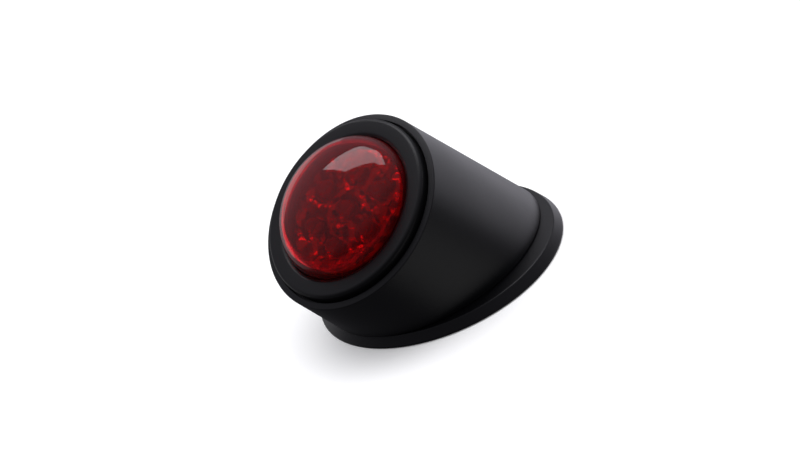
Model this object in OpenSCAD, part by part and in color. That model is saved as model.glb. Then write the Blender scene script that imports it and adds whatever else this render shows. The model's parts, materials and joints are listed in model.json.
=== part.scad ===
// Round motorcycle tail light: a leaning cast housing on a round foot plate, a domed lens held by a
// screwed ring, and an LED module behind the lens. The mounting face is Z = 0 and the lens leans
// towards -Y. Sizes are in millimetres.

/* [Foot plate] */
// Outer diameter of the foot plate
plate_d = 77.1; // [74.5:0.1:92]
// Height of the foot plate's top face above the mounting face
plate_top = 3.6; // [3:0.1:5]
// Width of the bevel round the foot plate's top edge
plate_bevel_w = 1.8; // [0.6:0.1:1.9]
// Height of that bevel
plate_bevel_h = 2.8; // [0.8:0.1:2.8]
// Radius that softens the bevel's two corners
plate_edge_r = 0.6; // [0.2:0.1:0.8]
// Distance between the two mounting inserts
insert_pitch = 32; // [28:0.5:36]
// Thread size of the mounting inserts
insert_thread_d = 6; // [5:1:6]
// Outer diameter of the mounting inserts
insert_d = 9; // [8:0.5:10]
// Height of the bosses that hold the inserts, above the plate
insert_boss_h = 6.5; // [5:0.5:8]
// Diameter of the cable that the grommet takes
cable_d = 5.2; // [4:0.2:6.5]
// Thickness of the rubber pad under the plate
pad_t = 1.5; // [1:0.1:1.8]
// How far the rubber pad stands below the plate
pad_proud = 0.4; // [0.2:0.1:0.6]

/* [Housing] */
// Outer diameter at the mouth, where the ring screws in
mouth_d = 60; // [58:0.5:64]
// Outer diameter where the housing's axis meets the mounting face
root_d = 63.1; // [62:0.1:68]
// Length along the axis, from the mounting face to the mouth
axis_l = 44.26; // [41:0.02:56]
// Lean of the housing's axis from the vertical
tilt = 31; // [24:1:33]
// How much more the outside leans than the mouth's own axis
shell_lean = 1; // [0:0.1:1.5]
// Wall thickness of the housing
wall = 3; // [2.4:0.1:3.2]
// Rise of the rounded lip around the mouth
lip_rise = 0.3; // [0.2:0.1:1.2]
// Thickness of the gasket between the housing and the plate
foot_seal_t = 0.5; // [0.4:0.1:1]
// Diameter of the screws that hold the housing
foot_screw_d = 3; // [2.5:0.5:3.5]
// Length of the screws that hold the housing
foot_screw_l = 12; // [10:0.5:13]

/* [Ring and lens] */
// Outer diameter of the screwed ring
ring_d = 54.9; // [52.6:0.1:55.1]
// Height of the ring's face above the mouth
ring_rise = 2.9; // [2:0.1:4]
// Radius of the ring's rounded outer edge
ring_edge_r = 1.1; // [0.5:0.1:1.6]
// Length of the ring's screwed skirt below the mouth
ring_skirt = 6.5; // [5.5:0.1:7]
// Width of the open groove around the ring
groove_w = 0.55; // [0.4:0.05:1]
// Depth of the open groove around the ring
groove_h = 1; // [0.5:0.1:2]
// Diameter of the lens dome
lens_d = 43.6; // [42:0.2:44.4]
// Height of the dome above its shoulder
dome_h = 12.2; // [10:0.2:16]
// Corner radius of the dome
dome_corner_r = 9; // [7.5:0.5:9.5]
// Height of the dome's shoulder above the mouth
lens_shoulder = 1.5; // [1.4:0.1:2.6]
// Wall thickness of the lens
lens_wall = 2.2; // [1.8:0.1:2.6]
// Thickness of the lens flange
lens_flange_t = 1.9; // [1.5:0.1:2.1]
// Thickness of the gasket under the lens
lens_seal_t = 1.5; // [1:0.1:2]

/* [LED module] */
// Number of outer LEDs
led_count = 6; // [5:1:6]
// Radius of the circle of outer LEDs
led_circle_r = 11.4; // [10.8:0.1:11.6]
// Diameter of an LED's dome
led_d = 5; // [4:0.5:5]
// Height of an LED above its seat
led_h = 8.6; // [7:0.1:9]
// Diameter of a reflector cup at its mouth
cup_d = 9.2; // [9:0.2:10.2]
// Depth of a reflector cup
cup_h = 2.6; // [2:0.1:3.5]
// Height of the LEDs' tips above the mouth
led_tip = 4; // [3:0.1:4.6]
// Height of the reflector's face above the mouth
reflector_top = 1.4; // [1:0.1:3]
// Wall thickness of the reflector
reflector_wall = 1.4; // [1:0.1:1.6]
// Diameter of the circuit board
board_d = 40; // [38.4:0.2:41]
// Thickness of the circuit board
board_t = 1.6; // [1:0.2:2]
// Height of the collars that hold the LEDs off the board
collar_h = 4; // [3:0.2:5]
// Diameter of the screws that hold the board
board_screw_d = 2.5; // [2:0.5:2.5]

/* [Fits] */
// Gap round the ring's skirt in the housing
thread_clearance = 0.07; // [0.04:0.01:0.1]
// Gap between the lens and the ring
lens_clearance = 0.15; // [0.1:0.05:0.25]
// Gap between loosely fitted pieces
loose = 0.1; // [0.05:0.05:0.2]

/* [Hidden] */
$fn = 128;

plate_bottom = pad_proud;
pad_r = plate_d / 2 - 1.9;
pad_w = 6.5;
grommet_hole_r = cable_d / 2 + 2.4;
grommet_lip = 1.6;
housing_bottom = plate_top + foot_seal_t;
shell_slope = (root_d - mouth_d) / 2 / axis_l;
ring_r = ring_d / 2;
thread_r = ring_r + thread_clearance;
groove_r = ring_r + groove_w;
flange_top = lens_shoulder - 1.3;
flange_bottom = flange_top - lens_flange_t;
seal_bottom = flange_bottom - loose / 2 - lens_seal_t;
ledge_top = -ring_skirt - 1;
ledge_t = 2.5;
ring_wall = 2.35;
ring_lip_bottom = flange_top + loose;
ring_bore_r = lens_d / 2 + lens_clearance;
skirt_bore_r = ring_r - ring_wall;
flange_r = skirt_bore_r - 0.4;
seal_w = 3.6;
reflector_face_r = lens_d / 2 - lens_wall - 0.4;
reflector_rim_w = 1.6;
led_seat = led_tip - led_h;
board_top = led_seat - collar_h;
board_bottom = board_top - board_t;
board_screw_r = board_d / 2 - 4.5;
led_start = 30;
chip_h = 0.6;
foot_screw_x = 20.5;
foot_screw_front_y = -17;
foot_screw_back_y = 14.5;
foot_boss_d = foot_screw_d + 4;
foot_boss_top = foot_screw_l + plate_bottom + 1.5;
far = 200;

// Radius of the housing's outside at a height above the mouth
function shell_r(z) = mouth_d / 2 - shell_slope * z;

// Points along an arc, from one angle to another
function arc(centre, r, from, to, steps) = [for (i = [0 : steps])
    centre + r * [cos(from + (to - from) * i / steps), sin(from + (to - from) * i / steps)]];

// Puts its children on the lens axis, with their Z = 0 in the plane of the mouth
module at_mouth() {
    rotate([tilt, 0, 0]) translate([0, 0, axis_l]) children();
}

// Puts its children on the axis of the housing's outside, with their Z = 0 at the middle of the mouth
module at_shell() {
    at_mouth() rotate([shell_lean, 0, 0]) children();
}

module tube(z0, z1, outer_r, inner_r) {
    translate([0, 0, z0]) difference() {
        cylinder(h = z1 - z0, r = outer_r);
        translate([0, 0, -1]) cylinder(h = z1 - z0 + 2, r = inner_r);
    }
}

module rod(z0, z1, r) {
    translate([0, 0, z0]) cylinder(h = z1 - z0, r = r);
}

// A cone like the housing's outside, smaller by inset, that ends at a height above the mouth
module shell_cone(inset, top) {
    low = -axis_l - 40;
    translate([0, 0, low]) cylinder(h = top - low, r1 = shell_r(low) - inset, r2 = shell_r(top) - inset);
}

module above(z) {
    translate([-far / 2, -far / 2, z]) cube([far, far, far]);
}

module at_inserts() {
    for (side = [-1, 1]) translate([side * insert_pitch / 2, 0, 0]) children();
}

module at_foot_screws() {
    for (side = [-1, 1], y = [foot_screw_front_y, foot_screw_back_y])
        translate([side * foot_screw_x, y, 0]) children();
}

module at_outer_leds() {
    for (i = [0 : led_count - 1]) rotate(led_start + i * 360 / led_count) translate([led_circle_r, 0, 0]) children();
}

module at_leds() {
    children();
    at_outer_leds() children();
}

// Three screws between the outer LEDs
module at_board_screws() {
    for (i = [0 : 2]) rotate(led_start + (floor(i * led_count / 3) + 0.5) * 360 / led_count)
        translate([board_screw_r, 0, 0]) children();
}

// A countersunk screw with its head's face at Z = 0 and its point upwards
module countersunk_screw(d, l) {
    difference() {
        union() {
            cylinder(h = d * 0.5, r1 = d * 0.95, r2 = d / 2);
            cylinder(h = l, r = d / 2);
        }
        translate([0, 0, -1]) cylinder(h = d * 0.3 + 1, r = d * 0.4, $fn = 6);
    }
}

module countersink(d, l) {
    translate([0, 0, -1]) cylinder(h = 1, r = d * 0.95 + loose);
    cylinder(h = d * 0.5, r1 = d * 0.95 + loose, r2 = d / 2 + loose);
    cylinder(h = l, r = d / 2 + loose);
}

// Half outline of the foot plate: a short upright wall, then a bevel with softened corners
module plate_outline() {
    r = plate_d / 2;
    slope = atan2(plate_bevel_w, plate_bevel_h);
    low = [r - plate_edge_r, plate_top - plate_bevel_h - plate_edge_r * tan(slope / 2)];
    high = [r - plate_bevel_w - plate_edge_r * tan((90 - slope) / 2), plate_top - plate_edge_r];
    polygon(concat([[0, plate_bottom], [r, plate_bottom]], arc(low, plate_edge_r, 0, slope, 6),
        arc(high, plate_edge_r, slope, 90, 8), [[0, plate_top]]));
}

module base_plate() {
    color([0.13, 0.13, 0.14]) difference() {
        union() {
            rotate_extrude() plate_outline();
            at_inserts() rod(plate_bottom, plate_top + insert_boss_h, insert_d / 2 + 2);
        }
        tube(-1, pad_t, pad_r, pad_r - pad_w);
        at_inserts() rod(-1, plate_top + insert_boss_h + 1, insert_d / 2);
        rod(-1, plate_top + 1, grommet_hole_r);
        translate([0, 0, plate_bottom]) at_foot_screws() countersink(foot_screw_d, far);
    }
}

module mounting_pad() {
    color([0.08, 0.08, 0.08]) tube(0, pad_t, pad_r, pad_r - pad_w);
}

module mount_inserts() {
    color("darkgoldenrod") at_inserts()
        tube(plate_bottom, plate_top + insert_boss_h, insert_d / 2, insert_thread_d / 2 - 0.5);
}

module cable_grommet() {
    color([0.08, 0.08, 0.08]) difference() {
        union() {
            rod(plate_bottom, plate_top, grommet_hole_r);
            rod(plate_top, plate_top + grommet_lip, grommet_hole_r + grommet_lip);
            rod(plate_top + grommet_lip, plate_top + 2 * grommet_lip + 2, cable_d / 2 + 1.6);
        }
        rod(-1, plate_top + far, cable_d / 2);
    }
}

module foot_gasket() {
    color([0.08, 0.08, 0.08]) intersection() {
        at_shell() difference() {
            shell_cone(0.45, 0);
            shell_cone(wall, 1);
        }
        translate([-far / 2, -far / 2, plate_top]) cube([far, far, foot_seal_t]);
    }
}

module housing() {
    lip_step = 0.15;
    color([0.13, 0.13, 0.14]) difference() {
        union() {
            intersection() {
                union() {
                    difference() {
                        at_shell() shell_cone(0, 2);
                        at_mouth() above(0);
                        at_shell() shell_cone(wall, ledge_top - ledge_t);
                        at_mouth() rod(ledge_top - ledge_t - 1, 1, flange_r - 2.6);
                    }
                    at_mouth() cylinder(h = lip_rise, r1 = mouth_d / 2 - lip_step, r2 = groove_r);
                }
                above(housing_bottom);
            }
            foot_bosses();
        }
        at_mouth() rod(ledge_top, 10, thread_r);
        at_mouth() rod(-groove_h, 10, groove_r);
        at_foot_screws() rod(-1, foot_screw_l + plate_bottom + 0.5, foot_screw_d / 2 + loose / 2);
    }
}

// Screw bosses inside the housing's foot, each webbed to the side wall
module foot_bosses() {
    intersection() {
        at_shell() shell_cone(wall / 2, ledge_top);
        above(housing_bottom);
        at_foot_screws() union() {
            rod(0, foot_boss_top, foot_boss_d / 2);
            translate([-foot_boss_d / 2 - 8, -1.5, 0]) cube([16 + foot_boss_d, 3, foot_boss_top]);
        }
        foot_boss_sides();
    }
}

// The space outside the inner faces of the webs, so that each web reaches its own side wall only
module foot_boss_sides() {
    inner = foot_screw_x - foot_boss_d / 2;
    for (side = [0, 1]) mirror([side, 0, 0]) translate([inner, -far / 2, 0]) cube([far / 2, far, far]);
}

module foot_screws() {
    color("silver") translate([0, 0, plate_bottom]) at_foot_screws()
        countersunk_screw(foot_screw_d, foot_screw_l);
}

module bezel_ring() {
    color([0.16, 0.16, 0.17]) at_mouth() rotate_extrude() difference() {
        union() {
            translate([ring_bore_r, ring_lip_bottom])
                square([ring_r - ring_edge_r - ring_bore_r, ring_rise - ring_lip_bottom]);
            translate([skirt_bore_r, -ring_skirt]) square([ring_wall, ring_skirt + ring_rise - ring_edge_r]);
            intersection() {
                translate([ring_r - ring_edge_r, ring_rise - ring_edge_r]) circle(r = ring_edge_r);
                translate([ring_r - ring_edge_r, 0]) square([ring_edge_r, ring_rise]);
            }
        }
        polygon([[ring_bore_r - 1, ring_rise + 1.6], [ring_bore_r - 1, ring_rise - 1.6],
            [ring_bore_r + 1.6, ring_rise + 1]]);
    }
}

// Half outline of a dome: a corner arc that runs smoothly into a large crown arc
module dome_outline(r, h, corner_r) {
    k = r - corner_r;
    crown_r = (k * k + h * h - corner_r * corner_r) / (2 * (h - corner_r));
    centre = h - crown_r;
    lean = atan2(k, -centre);
    intersection() {
        translate([0, centre]) circle(r = crown_r);
        polygon([[0, centre], [0, h + 1], [2 * crown_r * tan(lean), centre + 2 * crown_r]]);
        square([r, h + 1]);
    }
    intersection() {
        translate([k, 0]) circle(r = corner_r);
        translate([k / 2, 0]) square([r, h + 1]);
    }
    square([k, corner_r * cos(lean)]);
}

module lens() {
    color([0.6, 0.03, 0.05]) at_mouth() difference() {
        union() {
            rod(flange_bottom, flange_top, flange_r);
            rod(flange_bottom, lens_shoulder, lens_d / 2);
            translate([0, 0, lens_shoulder])
                rotate_extrude() dome_outline(lens_d / 2, dome_h, dome_corner_r);
        }
        rod(flange_bottom - 1, lens_shoulder, lens_d / 2 - lens_wall);
        translate([0, 0, lens_shoulder - 0.001]) rotate_extrude()
            dome_outline(lens_d / 2 - lens_wall, dome_h - lens_wall, dome_corner_r - lens_wall);
    }
}

module lens_gasket() {
    color([0.08, 0.08, 0.08]) at_mouth()
        tube(seal_bottom, seal_bottom + lens_seal_t, flange_r, flange_r - seal_w);
}

module reflector() {
    t = reflector_wall;
    face = reflector_face_r;
    rim = flange_r;
    slope_w = 0.05;
    color("silver") at_mouth() difference() {
        union() {
            rotate_extrude() polygon([[0, reflector_top], [face, reflector_top], [face + slope_w, seal_bottom],
                [rim, seal_bottom], [rim, ledge_top], [rim - reflector_rim_w, ledge_top],
                [rim - reflector_rim_w, seal_bottom - t], [face + slope_w - t, seal_bottom - t],
                [face - t, reflector_top - t], [0, reflector_top - t]]);
            at_leds() translate([0, 0, reflector_top - cup_h - t])
                cylinder(h = cup_h + t, r1 = led_d / 2 + 1.6, r2 = cup_d / 2 + 0.2);
            at_board_screws() rod(board_top, reflector_top - t, board_screw_d / 2 + 1.6);
        }
        at_leds() union() {
            translate([0, 0, reflector_top - cup_h])
                cylinder(h = cup_h + 0.01, r1 = led_d / 2 + 0.5, r2 = cup_d / 2 - 0.2);
            rod(reflector_top - cup_h - t - 1, reflector_top, led_d / 2 + loose);
        }
        at_board_screws() rod(board_top - 1, board_top + 6, board_screw_d / 2 + loose / 2);
    }
}

// One LED: a flange, a round body and a domed end, seated at Z = 0
module led() {
    r = led_d / 2;
    cylinder(h = 1, r = r + 0.4);
    cylinder(h = led_h - r, r = r);
    translate([0, 0, led_h - r]) sphere(r = r);
}

module outer_leds() {
    color([0.75, 0.15, 0.12]) at_mouth() translate([0, 0, led_seat]) at_outer_leds() led();
}

module centre_led() {
    color([0.75, 0.15, 0.12]) at_mouth() translate([0, 0, led_seat]) led();
}

module at_legs() {
    at_leds() for (side = [-1, 1]) translate([side * 1.27, 0, 0]) children();
}

module led_legs() {
    color("silver") at_mouth() at_legs() rod(board_bottom - 1.4, led_seat, 0.3);
}

module led_collars() {
    color("ivory") at_mouth() difference() {
        at_leds() rod(board_top, led_seat, led_d / 2 + 0.4);
        at_legs() rod(board_top - 1, led_seat + 1, 0.35);
    }
}

module led_board() {
    color("darkgreen") at_mouth() difference() {
        rod(board_bottom, board_top, board_d / 2);
        at_legs() rod(board_bottom - 1, board_top + 1, 0.35);
        at_board_screws() rod(board_bottom - 1, board_top + 1, board_screw_d / 2 + loose);
    }
}

module board_screws() {
    color("silver") at_mouth() at_board_screws() union() {
        rod(board_bottom, board_top + 5, board_screw_d / 2);
        rod(board_bottom - 1.6, board_bottom, board_screw_d * 0.9);
    }
}

// Puts its children under the board, with their Z = 0 on its face and their height downwards
module under_board(x, y) {
    at_mouth() translate([x, y, board_bottom]) rotate([180, 0, 0]) children();
}

module chip_body(x, y, z) {
    translate([-x / 2, -y / 2, 0]) cube([x, y, z]);
}

module driver_chip() {
    color([0.12, 0.12, 0.13]) under_board(0, 5.4) union() {
        translate([0, 0, 0.2]) chip_body(5, 4, 1.5);
        for (i = [0 : 3]) translate([(i - 1.5) * 1.27, 0, 0]) chip_body(0.42, 6, chip_h);
    }
}

module rectifier_diode() {
    color([0.12, 0.12, 0.13]) under_board(board_d / 2 - 4.5, 0) union() {
        translate([0, 0, 0.2]) chip_body(4.4, 3.6, 2.1);
        chip_body(5.4, 1.6, chip_h);
    }
}

module capacitor() {
    color([0.15, 0.16, 0.3]) under_board(0, -5.6) union() {
        cylinder(h = 7.7, r = 3.15);
        chip_body(6.6, 6.6, chip_h);
    }
}

module resistors() {
    color([0.12, 0.12, 0.13]) for (i = [0 : 3])
        under_board(6, (i - 1.5) * 2.4) chip_body(3.2, 1.6, chip_h);
}

module header_shroud() {
    color("ivory") under_board(-6.8, 0) difference() {
        chip_body(6, 5, 6);
        translate([0, 0, 1.2]) chip_body(4.8, 3.8, 6);
        for (i = [-1 : 1]) translate([i * 1.5, 0, -1]) cylinder(h = 4, r = 0.35);
    }
}

module header_pins() {
    color("gold") under_board(-6.8, 0) for (i = [-1 : 1])
        translate([i * 1.5, 0, 0]) cylinder(h = 5, r = 0.3);
}

base_plate();
mounting_pad();
mount_inserts();
cable_grommet();
foot_gasket();
housing();
foot_screws();
bezel_ring();
lens();
lens_gasket();
reflector();
outer_leds();
centre_led();
led_legs();
led_collars();
led_board();
board_screws();
driver_chip();
rectifier_diode();
capacitor();
resistors();
header_shroud();
header_pins();
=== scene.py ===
import json
import math
import random

import bmesh
import bpy
from mathutils import Matrix, Vector
from mathutils.geometry import delaunay_2d_cdt


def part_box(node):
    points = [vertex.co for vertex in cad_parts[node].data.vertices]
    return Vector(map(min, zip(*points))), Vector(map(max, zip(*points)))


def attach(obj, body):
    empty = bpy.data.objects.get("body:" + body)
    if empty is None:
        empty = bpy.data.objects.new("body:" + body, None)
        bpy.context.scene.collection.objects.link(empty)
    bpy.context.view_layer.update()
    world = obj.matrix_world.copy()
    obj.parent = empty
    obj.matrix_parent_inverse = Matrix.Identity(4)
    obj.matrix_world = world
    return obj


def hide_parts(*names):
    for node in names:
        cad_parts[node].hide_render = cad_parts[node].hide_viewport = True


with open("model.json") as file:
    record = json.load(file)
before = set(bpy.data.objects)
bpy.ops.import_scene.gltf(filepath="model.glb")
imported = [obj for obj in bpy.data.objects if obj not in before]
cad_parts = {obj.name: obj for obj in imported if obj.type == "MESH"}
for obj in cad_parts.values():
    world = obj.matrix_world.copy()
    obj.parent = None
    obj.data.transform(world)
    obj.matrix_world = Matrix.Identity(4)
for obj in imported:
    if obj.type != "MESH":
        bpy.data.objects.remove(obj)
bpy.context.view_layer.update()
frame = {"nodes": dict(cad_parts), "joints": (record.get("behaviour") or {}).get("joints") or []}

# ---------------------------------------------------------------- studio
# White paper in a room that is dim below and brighter up behind. A glowing pane like a window hangs
# above and behind, low panels stand left, behind and below, and a panel overhead lights the paper
# only. The paper throws nothing back on the object.

MM = 0.001
scene = bpy.context.scene
scene.view_settings.view_transform = "Standard"
scene.world = bpy.data.worlds.new("studio_air")
scene.world.use_nodes = True
air = scene.world.node_tree
air.nodes["Background"].inputs["Color"].default_value = (0.90, 0.89, 1.0, 1)
dim_wall, bright_wall = 0.05, 0.32
bright_side = Vector((-0.35, 0.45, 0.82)).normalized()


def room_brightness():
    """Shades the room from its dim side to its bright side, by the direction looked in."""
    towards = air.nodes.new("ShaderNodeVectorMath")
    towards.operation = "DOT_PRODUCT"
    towards.inputs[1].default_value = bright_side
    blend = air.nodes.new("ShaderNodeMapRange")
    blend.interpolation_type = "SMOOTHSTEP"
    for socket, value in (("From Min", -0.5), ("From Max", 1.0),
                          ("To Min", dim_wall), ("To Max", bright_wall)):
        blend.inputs[socket].default_value = value
    air.links.new(air.nodes.new("ShaderNodeTexCoord").outputs["Generated"], towards.inputs[0])
    air.links.new(towards.outputs["Value"], blend.inputs["Value"])
    air.links.new(blend.outputs["Result"], air.nodes["Background"].inputs["Strength"])


room_brightness()


def aim(obj, place, target, roll=0.0):
    """Puts a lamp or the camera at a place, facing a target, turned about its own line of sight."""
    place, target = Vector(place), Vector(target)
    turn = (target - place).to_track_quat("-Z", "Y").to_matrix().to_4x4()
    obj.matrix_world = Matrix.Translation(place) @ turn @ Matrix.Rotation(math.radians(roll), 4, "Z")


def softbox(name, place, target, size, power, roll=0.0, tint=(1, 1, 1)):
    lamp = bpy.data.lights.new(name, "AREA")
    lamp.shape = "RECTANGLE"
    lamp.size, lamp.size_y = size
    lamp.energy = power
    lamp.color = tint
    obj = bpy.data.objects.new(name, lamp)
    scene.collection.objects.link(obj)
    aim(obj, place, target, roll)
    return obj


def stage_sheet(bm, name, surface_name, **finish):
    """A flat sheet that belongs to the studio, with a plain surface."""
    mesh = bpy.data.meshes.new(name)
    bm.to_mesh(mesh)
    bm.free()
    sheet = bpy.data.objects.new(name, mesh)
    scene.collection.objects.link(sheet)
    surface = bpy.data.materials.new(surface_name)
    surface.use_nodes = True
    shader = surface.node_tree.nodes["Principled BSDF"]
    for socket, value in finish.items():
        shader.inputs[socket.replace("_", " ")].default_value = value
    mesh.materials.append(surface)
    return sheet


window_corners = ((-0.86, 0.20), (-0.34, 0.06), (0.10, 0.34), (0.26, 0.62), (-0.08, 0.86))
window_height, window_glow = 0.80, 2.6
pane = bmesh.new()
pane.faces.new([pane.verts.new((x, y, window_height)) for x, y in window_corners])
key_window = stage_sheet(pane, "key_window", "window_glow",
                         Base_Color=(0, 0, 0, 1), Specular_IOR_Level=0,
                         Emission_Color=(0.96, 0.95, 1.0, 1), Emission_Strength=window_glow)
key_window.visible_camera = key_window.visible_shadow = False

light_middle = (0, 0, 0.03)
softbox("left_strip", (-1.6, 0.35, 0.03), light_middle, (2.0, 0.46), 1.2, roll=-20)
softbox("left_low", (-1.6, 0.0, -0.55), light_middle, (2.2, 0.6), 0.6)
softbox("back_panel", (0.1, 1.5, -0.30), light_middle, (2.4, 0.6), 4.6, tint=(0.93, 0.91, 1.0))
softbox("low_fill", (1.2, 0.2, -1.25), light_middle, (1.5, 1.5), 2.3)
paper_panel = softbox("paper_panel", (0, 0, 1.6), (0, 0, 0), (3.0, 3.0), 64)

camera_data = bpy.data.cameras.new("camera")
camera_data.lens = 109.4
camera_data.clip_start, camera_data.clip_end = 0.01, 20
camera = bpy.data.objects.new("camera", camera_data)
scene.collection.objects.link(camera)
scene.camera = camera
aim(camera, (0.46465, -0.42199, 0.35383), (0.00337, -0.01066, 0.02379), roll=-25.43)

paper = bmesh.new()
bmesh.ops.create_grid(paper, x_segments=8, y_segments=8, size=6)
floor = stage_sheet(paper, "floor", "white_paper", Base_Color=(0.9, 0.9, 0.91, 1), Roughness=0.9,
                    Emission_Color=(1, 1, 1, 1), Emission_Strength=0.12)
floor.visible_glossy = floor.visible_diffuse = floor.visible_shadow = False
paper_only = bpy.data.collections.new("paper_only")
paper_only.objects.link(floor)
paper_panel.light_linking.receiver_collection = paper_only
all_but_paper = bpy.data.collections.new("all_but_paper")
all_but_paper.objects.link(floor)
all_but_paper.collection_objects[0].light_linking.link_state = "EXCLUDE"
for lamp in [key_window] + [o for o in scene.objects if o.type == "LIGHT" and o is not paper_panel]:
    lamp.light_linking.receiver_collection = all_but_paper

# ---------------------------------------------------------------- foot plate
# A die-cast round plate with a flat top and a bevelled side, sprayed with black powder and baked.
# The powder leaves a fine orange peel, with a faint mottle in its colour and gloss.


class Signal:
    """A shader socket that can be used in sums, so that patterns are written as expressions."""

    def __init__(self, finish, socket):
        self.finish, self.socket = finish, socket

    def maths(self, operation, *values):
        return self.finish.node("ShaderNodeMath", {"operation": operation}, list(values))

    def __add__(self, other):
        return self.maths("ADD", self, other)

    def __mul__(self, other):
        return self.maths("MULTIPLY", self, other)

    __radd__, __rmul__ = __add__, __mul__


class Finish:
    """A node material. Constants go on its Principled shader, and node() adds everything else."""

    def __init__(self, name, **constants):
        self.material = bpy.data.materials.new(name)
        self.material.use_nodes = True
        self.tree = self.material.node_tree
        self.shader = self.tree.nodes["Principled BSDF"]
        for socket, value in constants.items():
            self.shader.inputs[socket.replace("_", " ")].default_value = value
        self.place = self.node("ShaderNodeTexCoord", output="Object")

    def node(self, kind, settings=None, sockets=None, output=0):
        made = self.tree.nodes.new(kind)
        for name, value in (settings or {}).items():
            if name == "stops":
                self.set_stops(made.color_ramp, value)
            else:
                setattr(made, name, value)
        pairs = sockets.items() if isinstance(sockets, dict) else enumerate(sockets or [])
        for name, value in pairs:
            if isinstance(value, Signal):
                self.tree.links.new(value.socket, made.inputs[name])
            else:
                made.inputs[name].default_value = value
        return Signal(self, made.outputs[output])

    @staticmethod
    def set_stops(ramp, stops):
        while len(ramp.elements) < len(stops):
            ramp.elements.new(0.5)
        for element, (position, colour) in zip(ramp.elements, stops):
            element.position, element.color = position, colour

    def noise(self, scale, detail=2.0, roughness=0.5):
        return self.node("ShaderNodeTexNoise", None, {
            "Vector": self.place, "Scale": scale, "Detail": detail, "Roughness": roughness})

    def spread(self, value, low, high):
        """Maps a pattern from 0..1 to low..high."""
        return self.node("ShaderNodeMapRange", None, {"Value": value, "To Min": low, "To Max": high})

    def mix(self, factor, first, second):
        return self.node("ShaderNodeMix", {"data_type": "RGBA"},
                         {0: factor, 6: first, 7: second}, output=2)

    def drive(self, socket, value):
        self.tree.links.new(value.socket, self.shader.inputs[socket])

    def bump(self, height, distance, strength=1.0):
        self.drive("Normal", self.node("ShaderNodeBump", None,
                                       {"Height": height, "Distance": distance, "Strength": strength}))


def powder_coat(name, colour, sheen, grain=0.000018):
    """Black powder coat: fine peel, faint mottle in colour and gloss."""
    coat = Finish(name, Specular_IOR_Level=0.5)
    peel = coat.noise(1500, 3)
    swell = coat.noise(260, 2)
    mottle = coat.noise(60, 4)
    lighter = tuple(c * 1.35 for c in colour)
    coat.drive("Base Color", coat.mix(mottle, (*colour, 1), (*lighter, 1)))
    coat.drive("Roughness", coat.spread(mottle * 0.6 + peel * 0.4, sheen - 0.06, sheen + 0.06))
    coat.bump(peel * 0.6 + swell * 0.8, grain)
    return coat.material


def dress(node, material):
    """Gives a CAD node its finish."""
    slots = frame["nodes"][node].data.materials
    slots.clear()
    slots.append(material)


black_coat = powder_coat("black_powder_coat", (0.008, 0.008, 0.0095), 0.42)
dress("base_plate", black_coat)

# ---------------------------------------------------------------- rubber parts
# The pad under the plate, the cable grommet and the two gaskets are moulded in black rubber. It is
# matt, with a faint grey bloom.

rubber = Finish("moulded_rubber")
bloom = rubber.noise(140, 5, 0.6)
rubber.drive("Base Color", rubber.mix(bloom, (0.010, 0.010, 0.011, 1), (0.026, 0.026, 0.028, 1)))
rubber.drive("Roughness", rubber.spread(bloom, 0.72, 0.88))
rubber.bump(rubber.noise(2200, 2), 0.00001)
for name in ("mounting_pad", "cable_grommet", "foot_gasket", "lens_gasket"):
    dress(name, rubber.material)

# ---------------------------------------------------------------- inserts and screws
# The inserts are turned brass, pressed into the plate. The screws are zinc-plated steel with a fine
# turning grain.


def bare_metal(name, colour, roughness, grain=900):
    metal = Finish(name, Metallic=1.0)
    turning = metal.noise(grain, 4, 0.7)
    tarnish = metal.noise(120, 4)
    darker = tuple(c * 0.72 for c in colour)
    metal.drive("Base Color", metal.mix(tarnish, (*darker, 1), (*colour, 1)))
    metal.drive("Roughness", metal.spread(turning, roughness - 0.08, roughness + 0.1))
    metal.bump(turning, 0.000006)
    return metal.material


brass = bare_metal("turned_brass", (0.78, 0.57, 0.28), 0.3)
zinc = bare_metal("zinc_plate", (0.66, 0.67, 0.70), 0.28)
dress("mount_inserts", brass)
dress("header_pins", brass)
for name in ("foot_screws", "board_screws", "led_legs"):
    dress(name, zinc)

# ---------------------------------------------------------------- housing
# A cast tube that leans forward and opens slightly towards its foot. Its mouth has a rounded lip, an
# open groove and the bore for the ring's screw. The foot is cut level to stand on its gasket.

turn = next(joint for joint in frame["joints"] if joint["name"] == "ring_turn")
lens_axis = Vector(turn["axis"]).normalized()
across = Vector((1, 0, 0))
mouth = Matrix.Translation(Vector(turn["pos_m"])) @ Matrix(
    (across, lens_axis.cross(across), lens_axis)).transposed().to_4x4()


def outline(corners):
    """Points round a closed outline. A corner is (radius, height, fillet), and a fillet is an arc."""
    points = []
    for i, (r, z, fillet) in enumerate(corners):
        here = Vector((r, z))
        before = Vector(corners[i - 1][:2]) - here
        after = Vector(corners[(i + 1) % len(corners)][:2]) - here
        if fillet == 0:
            points.append(here)
            continue
        half = before.angle(after) / 2
        inwards = (before.normalized() + after.normalized()).normalized()
        centre = here + inwards * (fillet / math.sin(half))
        start = here + before.normalized() * (fillet / math.tan(half)) - centre
        end = here + after.normalized() * (fillet / math.tan(half)) - centre
        sweep_angle = start.angle_signed(end)
        steps = max(3, round(abs(sweep_angle) / math.radians(9)))
        for k in range(steps + 1):
            points.append(centre + Matrix.Rotation(-sweep_angle * k / steps, 2) @ start)
    return points


def turned(points, steps=224):
    """A solid of revolution: a closed outline of (radius, height) spun about the Z axis."""
    bm = bmesh.new()
    verts = [bm.verts.new((p[0], 0, p[1])) for p in points]
    edges = [bm.edges.new(pair) for pair in zip(verts, verts[1:] + verts[:1])]
    bmesh.ops.spin(bm, geom=verts + edges, axis=(0, 0, 1), cent=(0, 0, 0), angle=math.tau,
                   steps=steps, use_merge=True)
    bmesh.ops.remove_doubles(bm, verts=bm.verts, dist=1e-4)
    bmesh.ops.dissolve_degenerate(bm, edges=bm.edges, dist=1e-4)
    return bm


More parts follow.
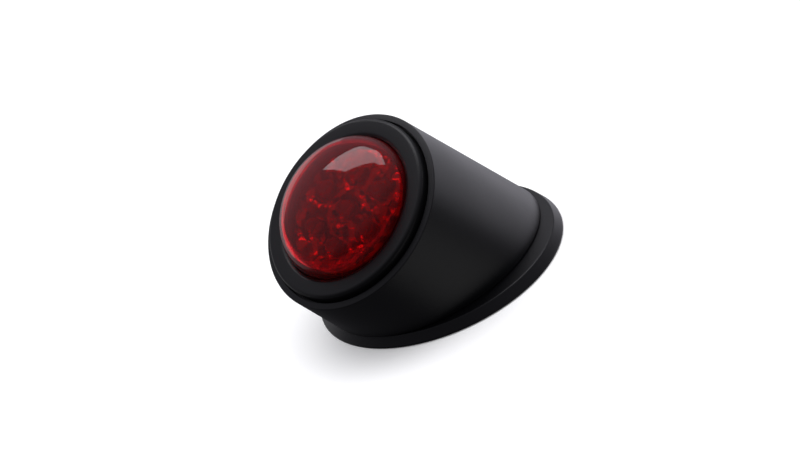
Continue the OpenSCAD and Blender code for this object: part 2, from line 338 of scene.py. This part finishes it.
def set_in_place(bm, placing=mouth):
    """Scales a piece made in millimetres to metres and moves it to its place."""
    bmesh.ops.transform(bm, matrix=placing @ Matrix.Scale(MM, 4), verts=bm.verts)


def piece(bm, name, body, material, replaced=(), sharp=35):
    """Turns a finished mesh into a piece that rides on a body."""
    bmesh.ops.recalc_face_normals(bm, faces=bm.faces)
    for face in bm.faces:
        face.smooth = True
    for edge in bm.edges:
        edge.smooth = len(edge.link_faces) != 2 or edge.calc_face_angle() < math.radians(sharp)
    mesh = bpy.data.meshes.new(name)
    bm.to_mesh(mesh)
    bm.free()
    obj = bpy.data.objects.new(name, mesh)
    scene.collection.objects.link(obj)
    mesh.materials.append(material)
    if replaced:
        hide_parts(*replaced)
    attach(obj, body)
    return obj


mouth_r, root_r, axis_l = 30.0, 31.55, 44.26
groove_r, bore_r, ledge_r = 28.0, 27.52, 22.1
lip_rise, groove_h = 0.3, 1.0
shell_wall, ledge_z, ledge_t, below = 3.0, -7.5, 2.5, -90.0
flare = (root_r - mouth_r) / axis_l
shell_lean = math.radians(1)

housing_mesh = turned(outline([
    (mouth_r - flare * below, below, 0),
    (mouth_r, 0.0, 0.35),
    (groove_r, lip_rise, 0.2),
    (groove_r, -groove_h, 0.12),
    (bore_r, -groove_h, 0.12),
    (bore_r, ledge_z, 0),
    (ledge_r, ledge_z, 0.3),
    (ledge_r, ledge_z - ledge_t, 0.3),
    (mouth_r - shell_wall - flare * (ledge_z - ledge_t), ledge_z - ledge_t, 1.0),
    (mouth_r - shell_wall - flare * below, below, 0),
]), steps=288)
bmesh.ops.rotate(housing_mesh, cent=(0, 0, 0), matrix=Matrix.Rotation(shell_lean, 3, "X"),
                 verts=[v for v in housing_mesh.verts if v.co.z < below + 1])
set_in_place(housing_mesh)
foot_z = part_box("housing")[0].z
cut = bmesh.ops.bisect_plane(housing_mesh, geom=housing_mesh.verts[:] + housing_mesh.edges[:] +
                             housing_mesh.faces[:], plane_co=(0, 0, foot_z), plane_no=(0, 0, -1),
                             clear_outer=True)
rims = [g for g in cut["geom_cut"] if isinstance(g, bmesh.types.BMEdge)]
bmesh.ops.bridge_loops(housing_mesh, edges=rims)
piece(housing_mesh, "housing_shell", "housing_body", black_coat, ["housing"])

# ---------------------------------------------------------------- screwed ring
# A turned ring that screws into the mouth and clamps the lens. Its face stands proud, with a broad
# rounded outer edge. The skirt below carries the screw thread.

ring_r, ring_bore, skirt_bore = 27.45, 21.95, 25.1
ring_top, lip_under, skirt_end = 2.9, 0.3, -6.5
inner_slope_w, inner_slope_h = 0.9, 0.5
relief_top, relief_end = -1.1, -1.5
thread_root, pitch = 26.87, 1.5
thread_turns, steps_a_turn, thread_start = 2.6, 120, 0.75
ridge_foot, ridge_crest, ridge_sunk = 0.62, 0.1, 0.1

ring_coat = powder_coat("ring_powder_coat", (0.006, 0.006, 0.007), 0.40)
ring_mesh = turned(outline([
    (ring_bore, ring_top - inner_slope_h, 0.25),
    (ring_bore + inner_slope_w, ring_top, 1.0),
    (ring_r, ring_top, 1.1),
    (ring_r, relief_top, 0.2),
    (thread_root, relief_end, 0.2),
    (thread_root, skirt_end, 0.3),
    (skirt_bore, skirt_end, 0.3),
    (skirt_bore, lip_under, 0.2),
    (ring_bore, lip_under, 0.2),
]), steps=288)
thread = bmesh.new()
ridge = [thread.verts.new((r, 0, z)) for r, z in
         ((thread_root - ridge_sunk, -ridge_foot), (ring_r, -ridge_crest), (ring_r, ridge_crest),
          (thread_root - ridge_sunk, ridge_foot))]
bmesh.ops.translate(thread, vec=(0, 0, skirt_end + thread_start), verts=ridge)
section = thread.faces.new(ridge)
bmesh.ops.spin(thread, geom=[section], axis=(0, 0, 1), cent=(0, 0, 0),
               angle=math.tau * thread_turns, steps=round(steps_a_turn * thread_turns),
               dvec=(0, 0, pitch / steps_a_turn), use_duplicate=False)
thread_data = bpy.data.meshes.new("thread")
thread.to_mesh(thread_data)
thread.free()
ring_mesh.from_mesh(thread_data)
bpy.data.meshes.remove(thread_data)
set_in_place(ring_mesh)
piece(ring_mesh, "bezel_ring_turned", "ring_body", ring_coat, ["bezel_ring"])

# ---------------------------------------------------------------- lens
# One thick moulding of clear red acrylic: a polished dome with tight shoulders, and a flange that
# the ring clamps.

lens_r, lens_wall, flange_r = 21.8, 2.2, 24.7
shoulder, dome_h, corner_r = 1.5, 12.2, 9.0
flange_top, flange_under = 0.2, -1.7


def dome_points(r, h, corner, base, steps=20):
    """Half a dome from its foot to its crown: a corner arc that runs smoothly into the crown arc."""
    inner = r - corner
    crown = (inner ** 2 + h ** 2 - corner ** 2) / (2 * (h - corner))
    lean = math.atan2(inner, crown - h)
    low = [(inner + corner * math.cos(t), base + corner * math.sin(t))
           for t in (k / steps * (math.pi / 2 - lean) for k in range(steps))]
    top = [(crown * math.sin(t), base + h - crown + crown * math.cos(t))
           for t in (lean * (1 - k / steps) for k in range(steps + 1))]
    return low + top


outer_dome = dome_points(lens_r, dome_h, corner_r, shoulder)
inner_dome = dome_points(lens_r - lens_wall, dome_h - lens_wall, corner_r - lens_wall, shoulder)
lens_mesh = turned([
    (lens_r - lens_wall, flange_under),
    (flange_r, flange_under),
    (flange_r, flange_top),
    (lens_r, flange_top),
] + outer_dome + inner_dome[::-1], steps=256)
set_in_place(lens_mesh)
acrylic = Finish("red_acrylic", Base_Color=(0.78, 0.012, 0.022, 1), Roughness=0.015, IOR=1.49,
                 Transmission_Weight=0.86)
acrylic.drive("Base Color", acrylic.mix(acrylic.noise(45, 2), (0.74, 0.010, 0.020, 1),
                                        (0.82, 0.015, 0.026, 1)))
piece(lens_mesh, "lens_dome", "lens_body", acrylic.material, ["lens"])

# ---------------------------------------------------------------- reflector
# A plastic moulding with a mirror coating. Its raised face holds a faceted cup for every LED, and
# its rim stands on the housing's ledge.

face_z, face_r, face_edge = 0.9, 19.1, 0.3
flank_r, rim_z, rim_r, rim_skirt = 19.2, -3.25, 24.6, 4.2
cup_r, cup_floor_r, cup_depth, led_hole_r = 4.5, 3.1, 2.2, 2.62
led_circle, led_total, first_led = 11.4, 6, 30
led_tube = 1.2
face_sides, cup_sides, cup_rows = 72, 16, 4
facet, facet_rise, row_gap, facet_jitter = 1.5, 0.8, 0.87, 0.3

led_places = [Vector((0, 0, 0))]
for k in range(led_total):
    bearing = math.radians(first_led + 360 / led_total * k)
    led_places.append(Vector((led_circle * math.cos(bearing), led_circle * math.sin(bearing), 0)))

mirror = Finish("mirror_coating", Metallic=1.0)
ripple = mirror.noise(420, 3)
# Painted shade: patches of the mirror's colour are painted dark and half dark. They stand in for the
# dark reflections among its facets.
patches = mirror.node("ShaderNodeTexVoronoi", {"feature": "F1"},
                      {"Vector": mirror.place, "Scale": 620.0, "Randomness": 1.0}, output=1)
painted_dark_patch, painted_dim_patch = (0.05, 0.05, 0.055, 1), (0.60, 0.61, 0.64, 1)
bright_coat = (0.97, 0.97, 0.98, 1)
painted_dark_reflections = mirror.node("ShaderNodeValToRGB", {
    "stops": ((0.25, painted_dark_patch), (0.5, painted_dim_patch), (0.8, bright_coat))}, [patches])
mirror.drive("Base Color", painted_dark_reflections)
mirror.drive("Roughness", mirror.spread(ripple, 0.05, 0.16))
mirror.bump(mirror.noise(850, 2), 0.00022)


def ring_of_points(centre, radius, count):
    return [centre.xy + Vector((radius, 0)) @ Matrix.Rotation(math.tau * k / count, 2)
            for k in range(count)]


def faceted_face():
    """The face as small tilted triangles between its edge and the mouths of the cups."""
    chance = random.Random(4)
    loops = [ring_of_points(Vector((0, 0, 0)), face_r, face_sides)]
    loops += [ring_of_points(place, cup_r, cup_sides) for place in led_places]
    points, edges = [], []
    for loop in loops:
        first = len(points)
        edges += [(first + k, first + (k + 1) % len(loop)) for k in range(len(loop))]
        points += loop
    on_edges = len(points)
    cells = range(-int(face_r / facet) - 1, int(face_r / facet) + 2)
    for i in cells:
        for j in cells:
            spot = Vector((i + 0.5 * (j % 2), j * row_gap)) * facet
            spot += Vector([chance.uniform(-facet_jitter, facet_jitter) for _ in range(2)]) * facet
            if spot.length < face_r - facet * 0.5 and all(
                    (spot - place.xy).length > cup_r + facet * 0.5 for place in led_places):
                points.append(spot)
    flat, _, triangles, sources, _, _ = delaunay_2d_cdt(points, edges, [], 0, 1e-6)
    bm = bmesh.new()
    verts = []
    for spot, source in zip(flat, sources):
        rise = 0 if min(source) < on_edges else chance.uniform(0, facet_rise)
        verts.append(bm.verts.new((*spot, face_z + rise)))
    for corners in triangles:
        middle = sum((flat[k] for k in corners), Vector((0, 0))) / 3
        if all((middle - place.xy).length > cup_r * 0.97 for place in led_places):
            bm.faces.new([verts[k] for k in corners])
    circles = [(Vector((0, 0, 0)), face_r)] + [(place, cup_r) for place in led_places]
    by_loop = [[v for v in verts if abs((v.co.xy - place.xy).length - radius) < 0.01]
               for place, radius in circles]
    return bm, by_loop[0], by_loop[1:]


reflector_mesh, rim_loop, cup_loops = faceted_face()


def loop_edges(bm, verts):
    inside = set(verts)
    return [e for e in bm.edges if e.is_boundary and set(e.verts) <= inside]


def pull_loop(bm, verts, centre, radius_now, radius_next, drop):
    """Extrudes a loop of edges downwards and scales it about its centre. Returns the new loop."""
    made = bmesh.ops.extrude_edge_only(bm, edges=loop_edges(bm, verts))["geom"]
    new = [g for g in made if isinstance(g, bmesh.types.BMVert)]
    about = Matrix.Translation(-centre)
    growth = radius_next / radius_now
    bmesh.ops.scale(bm, vec=(growth, growth, 1), space=about, verts=new)
    bmesh.ops.translate(bm, vec=(0, 0, -drop), verts=new)
    return new


for place, loop in zip(led_places, cup_loops):
    radius = cup_r
    for row in range(1, cup_rows + 1):
        narrowed = cup_floor_r + (cup_r - cup_floor_r) * math.sqrt(1 - row / cup_rows * 0.999)
        loop = pull_loop(reflector_mesh, loop, place, radius, narrowed, cup_depth / cup_rows)
        radius = narrowed
    loop = pull_loop(reflector_mesh, loop, place, radius, led_hole_r, 0.0)
    pull_loop(reflector_mesh, loop, place, led_hole_r, led_hole_r, led_tube)
centre = Vector((0, 0, 0))
loop, radius = rim_loop, face_r
for next_r, drop in ((flank_r, face_edge), (flank_r, face_z - rim_z - face_edge),
                     (rim_r, 0.0), (rim_r, rim_skirt)):
    loop = pull_loop(reflector_mesh, loop, centre, radius, next_r, drop)
    radius = next_r
set_in_place(reflector_mesh)
reflector = piece(reflector_mesh, "reflector_bowl", "housing_body", mirror.material,
                  ["reflector"], sharp=4)
thicken = reflector.modifiers.new("wall", "SOLIDIFY")
thicken.thickness = 0.5 * MM
thicken.offset = -1

# ---------------------------------------------------------------- LEDs
# Six outer LEDs and one in the middle: 5 mm domes of clear red epoxy. Each has a small rim round its
# foot and stands in the hole of its cup.

led_r, led_h, led_seat = 2.5, 8.6, -4.6
led_rim_r, led_rim_h = 2.9, 1.0

epoxy = Finish("red_epoxy", IOR=1.54, Transmission_Weight=0.85, Roughness=0.03)
epoxy.drive("Base Color", epoxy.mix(epoxy.noise(300, 2), (0.85, 0.05, 0.05, 1), (0.95, 0.10, 0.08, 1)))
led_outline = [(0, 0), (led_rim_r, 0), (led_rim_r, led_rim_h), (led_r, led_rim_h)] + [
    (led_r * math.cos(t), led_h - led_r + led_r * math.sin(t))
    for t in (k / 12 * math.pi / 2 for k in range(13))]
for name, places in (("outer_leds", led_places[1:]), ("centre_led", led_places[:1])):
    cluster = bmesh.new()
    for place in places:
        one = turned(led_outline, steps=40)
        bmesh.ops.translate(one, vec=place + Vector((0, 0, led_seat)), verts=one.verts)
        held = bpy.data.meshes.new("held")
        one.to_mesh(held)
        one.free()
        cluster.from_mesh(held)
        bpy.data.meshes.remove(held)
    set_in_place(cluster)
    piece(cluster, name + "_epoxy", "housing_body", epoxy.material, [name])

# ---------------------------------------------------------------- board and its parts
# A glass-epoxy disc with a green mask, white nylon collars under the LEDs, and the drive parts.


def moulding(name, dark, light, roughness):
    plastic = Finish(name)
    flow = plastic.noise(240, 4)
    plastic.drive("Base Color", plastic.mix(flow, (*dark, 1), (*light, 1)))
    plastic.drive("Roughness", plastic.spread(flow, roughness - 0.06, roughness + 0.06))
    plastic.bump(plastic.noise(1800, 2), 0.000008)
    return plastic.material


nylon = moulding("white_nylon", (0.70, 0.69, 0.64), (0.80, 0.79, 0.75), 0.5)
board_mask = moulding("board_mask", (0.008, 0.10, 0.035), (0.015, 0.16, 0.06), 0.35)
chip_case = moulding("chip_case", (0.018, 0.018, 0.02), (0.035, 0.035, 0.038), 0.55)
can = bare_metal("capacitor_can", (0.62, 0.63, 0.66), 0.35)
dress("led_collars", nylon)
dress("header_shroud", nylon)
dress("led_board", board_mask)
for name in ("driver_chip", "rectifier_diode", "resistors"):
    dress(name, chip_case)
dress("capacitor", can)
